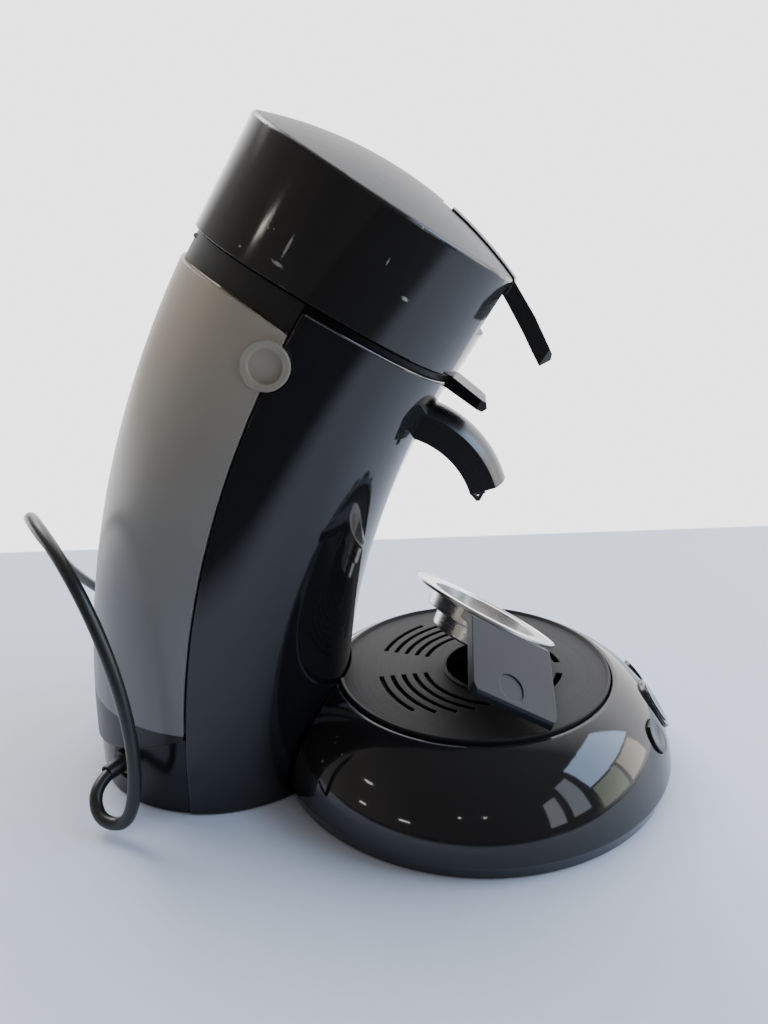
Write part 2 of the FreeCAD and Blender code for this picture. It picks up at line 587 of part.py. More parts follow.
def tube(points, r, name):
    """Round tube on straight runs joined by tangent arcs."""
    pts = [V(*p) for p in points]
    edges, start, radii = [], pts[0], []
    for a, b, c in zip(pts, pts[1:], pts[2:]):
        u, w = (b - a), (c - b)
        lu, lw = u.Length, w.Length
        u, w = u / lu, w / lw
        turn = math.acos(max(-1, min(1, u.dot(w))))
        cut = 0.45 * min(lu, lw)
        radii.append(cut / math.tan(turn / 2))
        p, q = b - u * cut, b + w * cut
        side = (w - u)
        side.normalize()
        mid = b + side * (radii[-1] / math.cos(turn / 2) - radii[-1])
        edges += [line(start, p), arc(p, mid, q)]
        start = q
    edges.append(line(start, pts[-1]))
    wire = Part.Wire(edges)
    d = pts[1] - pts[0]
    d.normalize()
    ring_wire = Part.Wire(Part.makeCircle(r, pts[0], d))
    solid = wire.makePipeShell([ring_wire], True, False)
    want = math.pi * r * r * wire.Length
    print(name, "length", round(wire.Length, 1), "radii", [round(x, 1) for x in radii],
          "volume ratio", round(solid.Volume / want, 4))
    return solid


def suction_tube(r, name):
    y, z = COLUMN_Y + 56.5, valve_z() - 9.3
    return tube([(0, y, z), (0, y - 1, z - 7.5), (0, y - 14, z - 8.5), (0, COLUMN_Y + 35, 21.5),
                 (0, COLUMN_Y + 29.2, 32)], r, name)


def hose_suction():
    return suction_tube(2.6, "hose_suction")


def hose_feed():
    return tube([(0, COLUMN_Y - 20, 60.1), (0, COLUMN_Y - 20, 74), (-6, COLUMN_Y - 14, 84),
                 (-10, COLUMN_Y - 13.8, 95.6)], 2.6, "hose_feed")


# Route of the lead, with y measured from the column's axis at its foot.
CORD_PATH = [(-56.0, 39.86, 20.3), (-71.0, 47.96, 19.2), (-84.5, 42.96, 8.0), (-88.5, 26.96, 7.5),
             (-88.0, 19.96, 25.0), (-84.0, 19.66, 56.1), (-80.0, 27.66, 95.6), (-74.0, 43.66, 134.9),
             (-34.0, 76.96, 151.5), (30.0, 103.96, 100.0), (92.0, 114.96, 46.0), (142.0, 91.96, 3.6),
             (182.0, 59.96, 3.6), (230.0, 63.96, 3.6), (270.0, 39.96, 3.6), (280.0, -4.04, 3.6),
             (248.0, -32.04, 3.6), (206.0, -22.04, 3.6), (176.0, 11.96, 3.6)]
CORD = [(x, COLUMN_Y + y, z) for x, y, z in CORD_PATH]


def gland_place():
    a, b = V(*CORD[0]), V(*CORD[1])
    d = b - a
    d.normalize()
    return a, d


def cord_gland():
    at, out = gland_place()
    flange = cyl(6.4, 1.5, at - out * 1.85, out)
    body = Part.makeCone(4.6, 4.0, 15.0, at - out * 5.6, out)
    return body.fuse(flange).cut(cyl(CORD_R + 0.15, 40, at - out * 10, out)).removeSplitter()


def plug_frame():
    a, b = V(*CORD[-2]), V(*CORD[-1])
    d = b - a
    d.normalize()
    return b, d


def plug_body():
    at, d = plug_frame()
    turn = math.degrees(math.atan2(d.y, d.x))
    grip = Part.makeCone(4.4, 7.6, 16, V(0.3, 0, 4.0), X_AXIS)
    flat = box(14, 32, -13, 13, -3.2, 11.2).common(cyl(14, 40, V(20, 0, -10)))
    shape = grip.fuse(flat).cut(box(-5, 40, -30, 30, -20, 0.4 - 3.6)).removeSplitter()
    shape = shape.cut(Part.makeCompound([cyl(2.05, 30, V(24, s * 9.3, 4.0), X_AXIS) for s in (-1, 1)]))
    shape.rotate(V(0, 0, 0), V(0, 0, 1), turn)
    shape.translate(V(at.x, at.y, 3.6))
    return shape


def plug_pins():
    at, d = plug_frame()
    turn = math.degrees(math.atan2(d.y, d.x))
    pins = [cyl(2.0, 26.4, V(24.1, s * 9.3, 4.0), X_AXIS) for s in (-1, 1)]
    shape = Part.makeCompound(pins)
    shape.rotate(V(0, 0, 0), V(0, 0, 1), turn)
    shape.translate(V(at.x, at.y, 3.6))
    return shape


# Underside.
def base_plate():
    z0, t = 1.6, 2.2
    dome = cyl(DOME_R - 1.9 - WALL - FIT, t, V(0, DOME_Y, z0))
    rear = cyl(COLUMN_R - WALL - FIT, t, V(0, COLUMN_Y, z0))
    plate = dome.cut(cyl(COLUMN_R + 1.4, 9, V(0, COLUMN_Y - 1.6, 0))).fuse(rear)
    plate = plate.fuse(box(-30, 30, -10, 40, z0, z0 + t))
    for x, y in FEET:
        plate = plate.cut(cyl(6.2, 9, V(x, y, -2)))
    for x, y in SCREWS:
        plate = plate.cut(cyl(1.9, 9, V(x, y, -2))).cut(cyl(3.6, 1.2 + z0, V(x, y, 0)))
    return plate.removeSplitter()


FEET = [(-70.0, DOME_Y - 40), (70.0, DOME_Y - 40), (0.0, DOME_Y - 84),
        (-44.0, COLUMN_Y + 26), (44.0, COLUMN_Y + 26)]
SCREWS = [(-62.0, DOME_Y + 28), (62.0, DOME_Y + 28), (-46.0, DOME_Y - 72), (46.0, DOME_Y - 72),
          (-34.0, COLUMN_Y + 4)]


def rubber_feet():
    pads = [cyl(9.0, 1.6, V(x, y, 0)).fuse(cyl(6.0, 3.4, V(x, y, 0))) for x, y in FEET]
    return Part.makeCompound([p.removeSplitter() for p in pads])


def base_screws():
    made = []
    for x, y in SCREWS:
        screw = cyl(3.4, 1.0, V(x, y, 1.7)).fuse(cyl(1.7, 9.0, V(x, y, 1.7)))
        made.append(screw.cut(box(x - 2.2, x + 2.2, y - 0.4, y + 0.4, 1, 2.1)).removeSplitter())
    return Part.makeCompound(made)


# Pod holder: stepped dish standing tilted on the grate, propped by its grip.
HOLDER_N = V(0.279, -0.4533, 0.8465)
HOLDER_GRIP = V(-0.9426, -0.2976, 0.1514)
HOLDER_AT = V(13.9, -58.02, 77.63)
GRIP_OUT, GRIP_T, GRIP_W = 42.0, 4.6, 47.0
GRIP_LONG, GRIP_BEND = 47.0, 32.0


def holder_rotation():
    n = V(HOLDER_N)
    n.normalize()
    ey = HOLDER_GRIP * -1
    ey = ey - n * ey.dot(n)
    ey.normalize()
    ex = ey.cross(n)
    return FreeCAD.Rotation(ex, ey, n, "ZXY")


def dish_profile():
    (r1, d1), (r2, d2) = DISH_STEP1, DISH_STEP2
    t = DISH_T
    return [(0, -d2), (r2 - 2, -d2), ((r2 - 0.6, -d2 + 0.6), (r2, -d2 + 2)), (r2 + 0.8, -d1 - 0.5),
            (r1 - 1.0, -d1), ((r1 - 0.3, -d1 + 0.3), (r1, -d1 + 1.2)), (r1 + 1.2, -t), (DISH_R, -t),
            (DISH_R, 0.6), (DISH_R - 1.2, 0.6), (DISH_R - 1.6, 0), (r1 + 0.3, 0), (r1 - t, -d1 + 1.4),
            (r1 - 2.2, -d1 + t),
            (r2 - 0.2, -d1 + t - 0.5), (r2 - t, -d2 + 2.2), (r2 - 2.2, -d2 + t), (0, -d2 + t)]


def pod_dish_local():
    return revolve_profile(chain(dish_profile()))


def holder_place():
    return FreeCAD.Placement(HOLDER_AT, holder_rotation())


def pod_dish():
    return placed(pod_dish_local(), holder_place())


def pod_grip():
    """Grip plate: a flat foot under the flange, then the plate bent down and out."""
    w, t, k = GRIP_W / 2, GRIP_T, math.radians(GRIP_BEND)
    c, q = math.cos(k), math.sin(k)
    bend = (-GRIP_OUT, -DISH_T - 0.1)
    end = (bend[0] - GRIP_LONG * c, bend[1] - GRIP_LONG * q)
    low = t * math.tan(k / 2)
    prof = [(-29.8, bend[1]), bend, (end[0] + 1.2 * c, end[1] + 1.2 * q),
            (end[0] + 1.2 * q, end[1] - 1.2 * c),
            (end[0] + t * q, end[1] - t * c), (bend[0] + low, bend[1] - t), (-29.8, bend[1] - t)]
    plate = side_plate(prof, -w, w)
    plan = [(-w, 0), (-w, end[0] + 4), (-w + 3, end[0] - 1), (w - 3, end[0] - 1), (w, end[0] + 4), (w, 0)]
    outline = Part.Face(Part.makePolygon([V(x, y, -60) for x, y in plan + plan[:1]])).extrude(V(0, 0, 80))
    plate = plate.common(outline).cut(cyl(DISH_STEP1[0] + 1.6, 20, V(0, 0, -15)))
    ends = [cyl(6.5, 3.0, V(0, y, -0.6)) for y in (-1.3, 1.3)]
    oval = box(-6.5, 6.5, -1.3, 1.3, -0.6, 2.4).fuse(ends).removeSplitter()
    oval.rotate(V(), X_AXIS, GRIP_BEND)
    oval.translate(V(-2.0, bend[0] - 36.0 * c, bend[1] - 36.0 * q))
    return placed(plate.cut(oval).removeSplitter(), holder_place())


def hose_head():
    k = math.radians(12)
    at = V(0, COLUMN_Y - BEND_R * (1 - math.cos(k)), SPINE_Z + BEND_R * math.sin(k))
    start = FreeCAD.Placement(at, FreeCAD.Rotation(X_AXIS, 12.0))
    pts = [start.multVec(V(15, 10, z)) for z in (75.7, 85.0)]
    top = FreeCAD.Placement(HEAD, FreeCAD.Rotation(X_AXIS, LEAN)).multVec(V(24, 30, -38.5))
    mid = (pts[1] + top) * 0.5 + V(3, 2, 2)
    return tube([tuple(p) for p in (pts[0], pts[1], mid, top)], 2.6, "hose_head")


BUILD = [base_cover, base_plate, rubber_feet, base_screws, power_ring, button_carrier, control_board,
         drip_bowl, drip_grate, column_shell, bay_wall, rear_skirt, seat_seal, water_tank, tank_valve,
         rear_collar, brew_chamber, lid_shell, lid_hinge_pin, lid_liner, lid_seal, shower_disc,
         latch_housing, lever_pin, lid_lever, latch_nose, spout_hood, spout_channel, spout_nozzle,
         spout_socket, boiler_bracket, boiler, thermostat, pump_mount, pump, hose_suction, hose_feed,
         hose_head, cord_gland, plug_body, plug_pins, pod_dish, pod_grip]

for make in BUILD:
    nodes[make.__name__] = make()
for name, (az, r) in BUTTONS.items():
    nodes[name] = button(az, r)
nodes["power_cord"] = tube(CORD, CORD_R, "power_cord")

GROUPS = {"rubber_feet": len(FEET), "base_screws": len(SCREWS), "plug_pins": 2}
for name, shape in nodes.items():
    count = len(shape.Solids)
    if count != GROUPS.get(name, 1) or not shape.isValid():
        print("look at", name, "solids", count, "valid", shape.isValid())
    out = shape if name in GROUPS else shape.Solids[0]
    out.exportStep("parts/" + name + ".step")
solids = [s for n, s in nodes.items() if n not in ("power_cord", "plug_body", "plug_pins")]
box_all = Part.makeCompound(solids).BoundBox
ends = (box_all.XMin, box_all.XMax, box_all.YMin, box_all.YMax, box_all.ZMin, box_all.ZMax)
print("nodes", len(nodes), "box", [round(v, 2) for v in ends])
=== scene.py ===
"""Looks of a pod coffee machine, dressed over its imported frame."""

import logging
import math
from dataclasses import dataclass, field
from enum import Enum

import bmesh
import bpy
from mathutils import Matrix, Vector


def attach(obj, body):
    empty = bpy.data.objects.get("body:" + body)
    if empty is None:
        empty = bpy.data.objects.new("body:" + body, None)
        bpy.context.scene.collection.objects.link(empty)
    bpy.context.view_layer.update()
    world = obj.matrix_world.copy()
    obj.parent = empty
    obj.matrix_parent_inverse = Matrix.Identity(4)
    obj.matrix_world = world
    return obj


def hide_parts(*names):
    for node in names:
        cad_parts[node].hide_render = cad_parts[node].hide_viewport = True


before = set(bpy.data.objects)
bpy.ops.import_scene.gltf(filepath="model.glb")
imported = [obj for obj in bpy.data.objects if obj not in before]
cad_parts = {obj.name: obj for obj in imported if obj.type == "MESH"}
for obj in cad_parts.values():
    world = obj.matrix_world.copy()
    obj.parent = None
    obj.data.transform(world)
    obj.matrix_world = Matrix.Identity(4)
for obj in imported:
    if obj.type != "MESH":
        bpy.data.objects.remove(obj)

LOG = logging.getLogger("pod_machine")
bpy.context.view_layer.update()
Rgb = tuple[float, float, float]
Xyz = tuple[float, float, float]
HEAD_LEAN = math.radians(33.0)
MM_PER_M = 1000
COAT_ROUGHNESS = 0.04
LEAST_ROUGHNESS = 0.03
LEAST_BUMP = 0.05
BUMP_DEPTH = 0.0002
CLOUD_SCALE = 22.0
WEAR_ROUGHENS = 0.5
SCRATCH_ROUGHENS = 0.12
SCRATCH_HEIGHT = -0.2
LINES_ROUGHEN = 0.16
LINES_ALONG_AXIS = 0.55
SCUFF_RAGGED = 1.2
FADE_BEND = 0.08
EDGE_SAMPLES = 6
FOOT_BLACK: Rgb = (0.004, 0.004, 0.005)
FOOT_BLUR = 0.0002


class Body(str, Enum):
    """Bodies of the frame that the scene's own pieces ride on."""

    MACHINE = "machine"


class Effect(str, Enum):
    """Shader node groups that several finishes share."""

    DUST = "settled_dust"
    SCRATCH = "hair_scratches"
    GRAIN = "moulded_grain"
    CLOUD = "slow_variation"
    SCUFF = "scuff_mark"
    RISE = "height_fade"


class Graph:
    """Short way to add and join the nodes of one tree."""

    def __init__(self, tree: bpy.types.NodeTree) -> None:
        """Keep the tree that the nodes go into.

        Args:
            tree: Node tree of a material, a world or a group.
        """
        self.tree = tree

    def add(self, kind: str, **settings: object) -> bpy.types.Node:
        """Add a node and set its properties.

        Args:
            kind: Blender's name of the node type, without the leading part.
            settings: The properties and their values.

        Returns:
            The new node.
        """
        node = self.tree.nodes.new("ShaderNode" + kind)
        for key, value in settings.items():
            setattr(node, key, value)
        return node

    def join(self, source: bpy.types.NodeSocket, target: bpy.types.NodeSocket) -> None:
        """Join an output to an input.

        Args:
            source: The output.
            target: The input.
        """
        self.tree.links.new(source, target)

    def feed(self, target: bpy.types.NodeSocket, term: object) -> None:
        """Set an input to a number, or join an output to it.

        Args:
            target: The input.
            term: A number or an output.
        """
        if isinstance(term, (int, float)):
            target.default_value = term
        else:
            self.join(term, target)

    def ramp(self, source: bpy.types.NodeSocket, low: object, high: object, to_low: float = 0.0,
             to_high: float = 1.0, shape: str = "LINEAR") -> bpy.types.NodeSocket:
        """Map one span of a value to another, held at its ends.

        Args:
            source: The value.
            low: Where the span starts, a number or a socket.
            high: Where the span ends, a number or a socket.
            to_low: Result at the start.
            to_high: Result at the end.
            shape: Blender's name of the way between them.

        Returns:
            The result's socket.
        """
        node = self.add("MapRange", interpolation_type=shape)
        for slot, term in zip(node.inputs, (source, low, high, to_low, to_high)):
            self.feed(slot, term)
        return node.outputs[0]

    def split(self, source: bpy.types.NodeSocket) -> bpy.types.bpy_prop_collection:
        """Split a vector.

        Args:
            source: The vector.

        Returns:
            The outputs X, Y and Z.
        """
        node = self.add("SeparateXYZ")
        self.join(source, node.inputs[0])
        return node.outputs

    def noise(self, where: bpy.types.NodeSocket, scale: object, detail: float) -> bpy.types.NodeSocket:
        """Add a noise texture.

        Args:
            where: The coordinates.
            scale: How fine it is, a number or a socket.
            detail: How many finer layers it has.

        Returns:
            The noise's socket.
        """
        node = self.add("TexNoise")
        self.join(where, node.inputs["Vector"])
        self.feed(node.inputs["Scale"], scale)
        self.feed(node.inputs["Detail"], detail)
        return node.outputs["Fac"]

    def cells(self, where: bpy.types.NodeSocket, scale: object, feature: str) -> bpy.types.NodeSocket:
        """Add a texture of scattered cells.

        Args:
            where: The coordinates.
            scale: How fine it is, a number or a socket.
            feature: Blender's name of what is measured.

        Returns:
            The socket of the distance from a cell's point.
        """
        node = self.add("TexVoronoi", feature=feature)
        self.join(where, node.inputs["Vector"])
        self.feed(node.inputs["Scale"], scale)
        return node.outputs["Distance"]

    def math(self, operation: str, *terms: object, clamp: bool = False) -> bpy.types.NodeSocket:
        """Add a Math node.

        Args:
            operation: Blender's name of the operation.
            terms: Sockets or numbers, in order.
            clamp: Whether the result stays between 0 and 1.

        Returns:
            The node's output.
        """
        node = self.add("Math", operation=operation, use_clamp=clamp)
        for slot, term in zip(node.inputs, terms):
            self.feed(slot, term)
        return node.outputs[0]

    def mix_rgb(self, mask: bpy.types.NodeSocket, low: object, high: object) -> bpy.types.NodeSocket:
        """Mix two colours by a mask.

        Args:
            mask: Socket from 0 to 1.
            low: Colour at 0, a socket or three numbers.
            high: Colour at 1, a socket or three numbers.

        Returns:
            The mixed colour's socket.
        """
        node = self.add("Mix", data_type="RGBA")
        self.join(mask, node.inputs[0])
        for slot, value in ((node.inputs[6], low), (node.inputs[7], high)):
            if isinstance(value, tuple):
                slot.default_value = (*value, 1.0)
            else:
                self.join(value, slot)
        return node.outputs[2]


class EffectLibrary:
    """Builds each shared effect once, as a shader node group."""

    def __init__(self) -> None:
        """Make all the groups."""
        self.groups = {effect: getattr(self, "_" + effect.value)() for effect in Effect}

    def _start(self, effect: Effect, inputs: dict[str, object],
               outputs: list[str]) -> tuple[Graph, dict, dict]:
        """Start a group with a coordinate input and inputs of its own.

        Args:
            effect: Which effect the group makes.
            inputs: Names of the other inputs and their defaults, a number or a vector.
            outputs: Names of the number outputs.

        Returns:
            The graph, the input sockets by name and the output node's sockets by name.
        """
        tree = bpy.data.node_groups.new(effect.value, "ShaderNodeTree")
        tree.interface.new_socket("Vector", in_out="INPUT", socket_type="NodeSocketVector")
        for name, value in inputs.items():
            kind = "NodeSocketVector" if isinstance(value, tuple) else "NodeSocketFloat"
            tree.interface.new_socket(name, in_out="INPUT", socket_type=kind).default_value = value
        for name in outputs:
            tree.interface.new_socket(name, in_out="OUTPUT", socket_type="NodeSocketFloat")
        graph = Graph(tree)
        start = tree.nodes.new("NodeGroupInput")
        end = tree.nodes.new("NodeGroupOutput")
        return graph, {s.name: s for s in start.outputs}, {s.name: s for s in end.inputs}

    def _settled_dust(self) -> bpy.types.NodeTree:
        """Specks and a thin film that lies more on faces that look up."""
        g, ins, outs = self._start(Effect.DUST, {"Scale": 900.0, "Amount": 0.3}, ["Mask"])
        cells = g.cells(ins["Vector"], ins["Scale"], "F1")
        spots = g.ramp(cells, low=0.10, high=0.02)
        rare = g.noise(ins["Vector"], scale=60.0, detail=2.0)
        specks = g.math("MULTIPLY", spots, g.ramp(rare, low=0.55, high=0.72))
        normal = g.split(g.add("NewGeometry").outputs["Normal"])
        up = g.ramp(normal["Z"], low=0.1, high=1.0, to_low=0.02, to_high=0.22)
        film = g.noise(ins["Vector"], scale=25.0, detail=5.0)
        layer = g.math("MULTIPLY", up, film)
        both = g.math("ADD", specks, layer)
        g.join(g.math("MULTIPLY", both, ins["Amount"], clamp=True), outs["Mask"])
        return g.tree

    def _hair_scratches(self) -> bpy.types.NodeTree:
        """Fine wiping marks in two directions, broken up by noise."""
        g, ins, outs = self._start(Effect.SCRATCH, {"Scale": 40.0, "Amount": 0.5}, ["Mask"])
        marks = []
        for turn, stretch in ((0.5, 26.0), (-0.9, 34.0)):
            place = g.add("Mapping", vector_type="POINT")
            place.inputs["Rotation"].default_value = (0.3, turn, turn * 2)
            place.inputs["Scale"].default_value = (stretch, 1.0, 1.0)
            g.join(ins["Vector"], place.inputs["Vector"])
            lines = g.noise(place.outputs[0], ins["Scale"], detail=1.0)
            marks.append(g.ramp(lines, low=0.66, high=0.74))
        g.join(g.math("MULTIPLY", g.math("MAXIMUM", *marks), ins["Amount"], clamp=True), outs["Mask"])
        return g.tree

    def _moulded_grain(self) -> bpy.types.NodeTree:
        """Even spark-eroded grain of a matt moulding."""
        g, ins, outs = self._start(Effect.GRAIN, {"Scale": 1800.0}, ["Height"])
        fine = g.noise(ins["Vector"], ins["Scale"], detail=3.0)
        cells = g.cells(ins["Vector"], ins["Scale"], "SMOOTH_F1")
        g.join(g.math("ADD", fine, cells), outs["Height"])
        return g.tree

    def _slow_variation(self) -> bpy.types.NodeTree:
        """Broad uneven patches, about a hand wide."""
        g, ins, outs = self._start(Effect.CLOUD, {"Scale": 18.0}, ["Value"])
        g.join(g.noise(ins["Vector"], ins["Scale"], detail=4.0), outs["Value"])
        return g.tree

    def _scuff_mark(self) -> bpy.types.NodeTree:
        """Short pale rub round one place, ragged at its edge."""
        start = {"Center": (0.0, 0.0, 0.0), "Reach": (0.001, 0.001, 0.001), "Lean": 0.0}
        g, ins, outs = self._start(Effect.SCUFF, start, ["Mask"])
        shift = g.add("VectorMath", operation="SUBTRACT")
        g.join(ins["Vector"], shift.inputs[0])
        g.join(ins["Center"], shift.inputs[1])
        lean = g.add("VectorRotate", rotation_type="X_AXIS")
        g.join(shift.outputs[0], lean.inputs["Vector"])
        g.join(ins["Lean"], lean.inputs["Angle"])
        part = g.add("VectorMath", operation="DIVIDE")
        g.join(lean.outputs[0], part.inputs[0])
        g.join(ins["Reach"], part.inputs[1])
        far = g.add("VectorMath", operation="LENGTH")
        g.join(part.outputs[0], far.inputs[0])
        ragged = g.noise(ins["Vector"], scale=1400.0, detail=4.0)
        edge = g.math("MULTIPLY_ADD", ragged, SCUFF_RAGGED, far.outputs["Value"])
        g.join(g.ramp(edge, low=1.45, high=1.0), outs["Mask"])
        return g.tree

    def _height_fade(self) -> bpy.types.NodeTree:
        """Slow change from a low to a high place, bent by noise."""
        g, ins, outs = self._start(Effect.RISE, {"Low": 0.0, "High": 0.3}, ["Mask"])
        noise = g.noise(ins["Vector"], scale=14.0, detail=2.0)
        level = g.math("SUBTRACT", g.split(ins["Vector"])["Z"], FADE_BEND / 2)
        bent = g.math("MULTIPLY_ADD", noise, FADE_BEND, level)
        g.join(g.ramp(bent, ins["Low"], ins["High"], shape="SMOOTHSTEP"), outs["Mask"])
        return g.tree


@dataclass(frozen=True)
class Finish:
    """One surface finish, made into a material with its own values.

    Attributes:
        name: Name of the material.
        color: Base colour.
        shade: Colour that slow patches change it to.
        roughness: Middle roughness.
        swing: How far slow patches change the roughness.
        metallic: 1 for bare metal.
        grain: Strength of the moulded grain.
        grain_scale: How fine the grain is.
        dust: Amount of settled dust.
        dust_color: Colour of dust and rubs.
        scratch: Amount of fine wiping marks.
        transmission: How much light passes through.
        ior: Index of refraction.
        coat: Weight of a clear coat.
        brush_axis: Axis of turning lines, or None.
        brush_center: A point on that axis.
        brush_pitch: How close together those lines are.
        edge: Radius of softened edges in metres.
        painted_light_color: Painted light, a lighter colour that it changes to towards the top, or None.
        painted_light_from: Heights between which that painted light comes in.
        top_dull: Roughness added where a face looks along the head's axis.
        foot: Y, height and slope of the line under which it is black, or None.
        scuffs: Centre and reach of each pale rub.
    """

    name: str
    color: Rgb
    shade: Rgb
    roughness: float
    swing: float = 0.06
    metallic: float = 0.0
    grain: float = 0.0
    grain_scale: float = 1800.0
    dust: float = 0.2
    dust_color: Rgb = (0.42, 0.41, 0.39)
    scratch: float = 0.0
    transmission: float = 0.0
    ior: float = 1.5
    coat: float = 0.0
    brush_axis: Xyz | None = None
    brush_center: Xyz = (0.0, 0.0, 0.0)
    brush_pitch: float = 9000.0
    edge: float = 0.0005
    painted_light_color: Rgb | None = None
    painted_light_from: tuple[float, float] = (0.0, 0.3)
    top_dull: float = 0.0
    foot: Xyz | None = None
    scuffs: tuple[tuple[Xyz, Xyz], ...] = ()

    def build(self, effects: EffectLibrary) -> bpy.types.Material:
        """Make the material.

        Args:
            effects: The shared node groups.

        Returns:
            The new material.
        """
        mat = bpy.data.materials.new(self.name)
        mat.use_nodes = True
        mat.node_tree.nodes.clear()
        g = Graph(mat.node_tree)
        out = g.add("OutputMaterial")
        bsdf = g.add("BsdfPrincipled")
        g.join(bsdf.outputs[0], out.inputs[0])
        where = g.add("TexCoord").outputs["Object"]
        self._set_plain(bsdf)
        cloud = self._use(g, effects, Effect.CLOUD, where, Scale=CLOUD_SCALE)
        dust = self._use(g, effects, Effect.DUST, where, Amount=self.dust)
        tone = g.mix_rgb(cloud.outputs[0], self.color, self.shade)
        # Painted light: the finish turns lighter and warmer towards the top.
        if self.painted_light_color:
            rise = self._use(g, effects, Effect.RISE, where, Low=self.painted_light_from[0], High=self.painted_light_from[1])
            tone = g.mix_rgb(rise.outputs[0], tone, self.painted_light_color)
        if self.foot:
            tone = g.mix_rgb(self._foot(g, where), tone, FOOT_BLACK)
        worn = dust.outputs[0]
        for center, reach in self.scuffs:
            mark = self._use(g, effects, Effect.SCUFF, where, Center=center, Reach=reach, Lean=-HEAD_LEAN)
            worn = g.math("MAXIMUM", worn, mark.outputs[0])
        g.join(g.mix_rgb(worn, tone, self.dust_color), bsdf.inputs["Base Color"])
        rough = g.math("MULTIPLY_ADD", cloud.outputs[0], self.swing, self.roughness - self.swing / 2)
        rough = g.math("MULTIPLY_ADD", worn, WEAR_ROUGHENS, rough)
        if self.top_dull:
            rough = g.math("MULTIPLY_ADD", self._crown(g), self.top_dull, rough)
        height = None
        if self.scratch:
            marks = self._use(g, effects, Effect.SCRATCH, where, Amount=self.scratch)
            rough = g.math("MULTIPLY_ADD", marks.outputs[0], SCRATCH_ROUGHENS, rough)
            height = g.math("MULTIPLY", marks.outputs[0], SCRATCH_HEIGHT)
        if self.grain:
            grain = self._use(g, effects, Effect.GRAIN, where, Scale=self.grain_scale)
            height = grain.outputs[0] if height is None else g.math("ADD", grain.outputs[0], height)
        if self.brush_axis:
            lines = self._brushed(g, where)
            rough = g.math("MULTIPLY_ADD", lines, LINES_ROUGHEN, rough)
            height = lines if height is None else g.math("ADD", lines, height)
        g.join(g.math("MAXIMUM", rough, LEAST_ROUGHNESS), bsdf.inputs["Roughness"])
        soft = g.add("Bevel", samples=EDGE_SAMPLES)
        soft.inputs["Radius"].default_value = self.edge
        normal = soft.outputs[0]
        if height is not None:
            bump = g.add("Bump")
            bump.inputs["Strength"].default_value = max(self.grain, LEAST_BUMP)
            bump.inputs["Distance"].default_value = BUMP_DEPTH
            g.join(height, bump.inputs["Height"])
            g.join(normal, bump.inputs["Normal"])
            normal = bump.outputs[0]
        g.join(normal, bsdf.inputs["Normal"])
        return mat

    def _set_plain(self, bsdf: bpy.types.Node) -> None:
        """Set the values that are the same all over the surface.

        Args:
            bsdf: The material's main shader node.
        """
        for socket, value in (("Metallic", self.metallic), ("Transmission Weight", self.transmission),
                              ("IOR", self.ior), ("Coat Weight", self.coat),
                              ("Coat Roughness", COAT_ROUGHNESS)):
            bsdf.inputs[socket].default_value = value

    def _use(self, g: Graph, effects: EffectLibrary, effect: Effect, where: bpy.types.NodeSocket,
             **values: object) -> bpy.types.Node:
        """Place a shared effect in the material.

        Args:
            g: The material's graph.
            effects: The shared node groups.
            effect: Which of them.
            where: The coordinates that it reads.
            values: Values of its number inputs.

        Returns:
            The group node.
        """
        node = g.add("Group", node_tree=effects.groups[effect])
        g.join(where, node.inputs["Vector"])
        for name, value in values.items():
            node.inputs[name].default_value = value
        return node

    def _foot(self, g: Graph, where: bpy.types.NodeSocket) -> bpy.types.NodeSocket:
        """Mask of what lies under the finish's sloping foot line.

        Args:
            g: The material's graph.
            where: Object coordinates.

        Returns:
            1 under the line, 0 over it.
        """
        at, level, slope = self.foot
        split = g.split(where)
        line = g.math("MULTIPLY_ADD", split["Y"], slope, level - slope * at)
        return g.ramp(g.math("SUBTRACT", line, split["Z"]), low=-FOOT_BLUR, high=FOOT_BLUR)

    def _crown(self, g: Graph) -> bpy.types.NodeSocket:
        """Mask of the faces that look along the head's axis.

        Args:
            g: The material's graph.

        Returns:
            1 on the crown, 0 on the sides.
        """
        facing = g.add("VectorMath", operation="DOT_PRODUCT")
        facing.inputs[1].default_value = (0.0, -math.sin(HEAD_LEAN), math.cos(HEAD_LEAN))
        g.join(g.add("TexCoord").outputs["Normal"], facing.inputs[0])
        return g.ramp(facing.outputs["Value"], low=0.6, high=0.85)

    def _brushed(self, g: Graph, where: bpy.types.NodeSocket) -> bpy.types.NodeSocket:
        """Turning lines round the finish's axis.

        Args:
            g: The material's graph.
            where: Object coordinates.

        Returns:
            A value that changes with the distance from the axis.
        """
        axis = Vector(self.brush_axis).normalized()
        turn = axis.rotation_difference(Vector((0, 0, 1))).to_euler()
        shift = g.add("VectorMath", operation="SUBTRACT")
        shift.inputs[1].default_value = self.brush_center
        g.join(where, shift.inputs[0])
        place = g.add("VectorRotate", rotation_type="EULER_XYZ")
        place.inputs["Rotation"].default_value = turn
        g.join(shift.outputs[0], place.inputs["Vector"])
        split = g.split(place.outputs[0])
        x2 = g.math("MULTIPLY", split["X"], split["X"])
        y2 = g.math("MULTIPLY", split["Y"], split["Y"])
        radius = g.math("SQRT", g.math("ADD", x2, y2))
        line = g.add("CombineXYZ")
        g.join(g.math("MULTIPLY", radius, self.brush_pitch), line.inputs[0])
        g.join(g.math("MULTIPLY", split["Z"], LINES_ALONG_AXIS * self.brush_pitch), line.inputs[1])
        return g.noise(line.outputs[0], scale=1.0, detail=2.0)


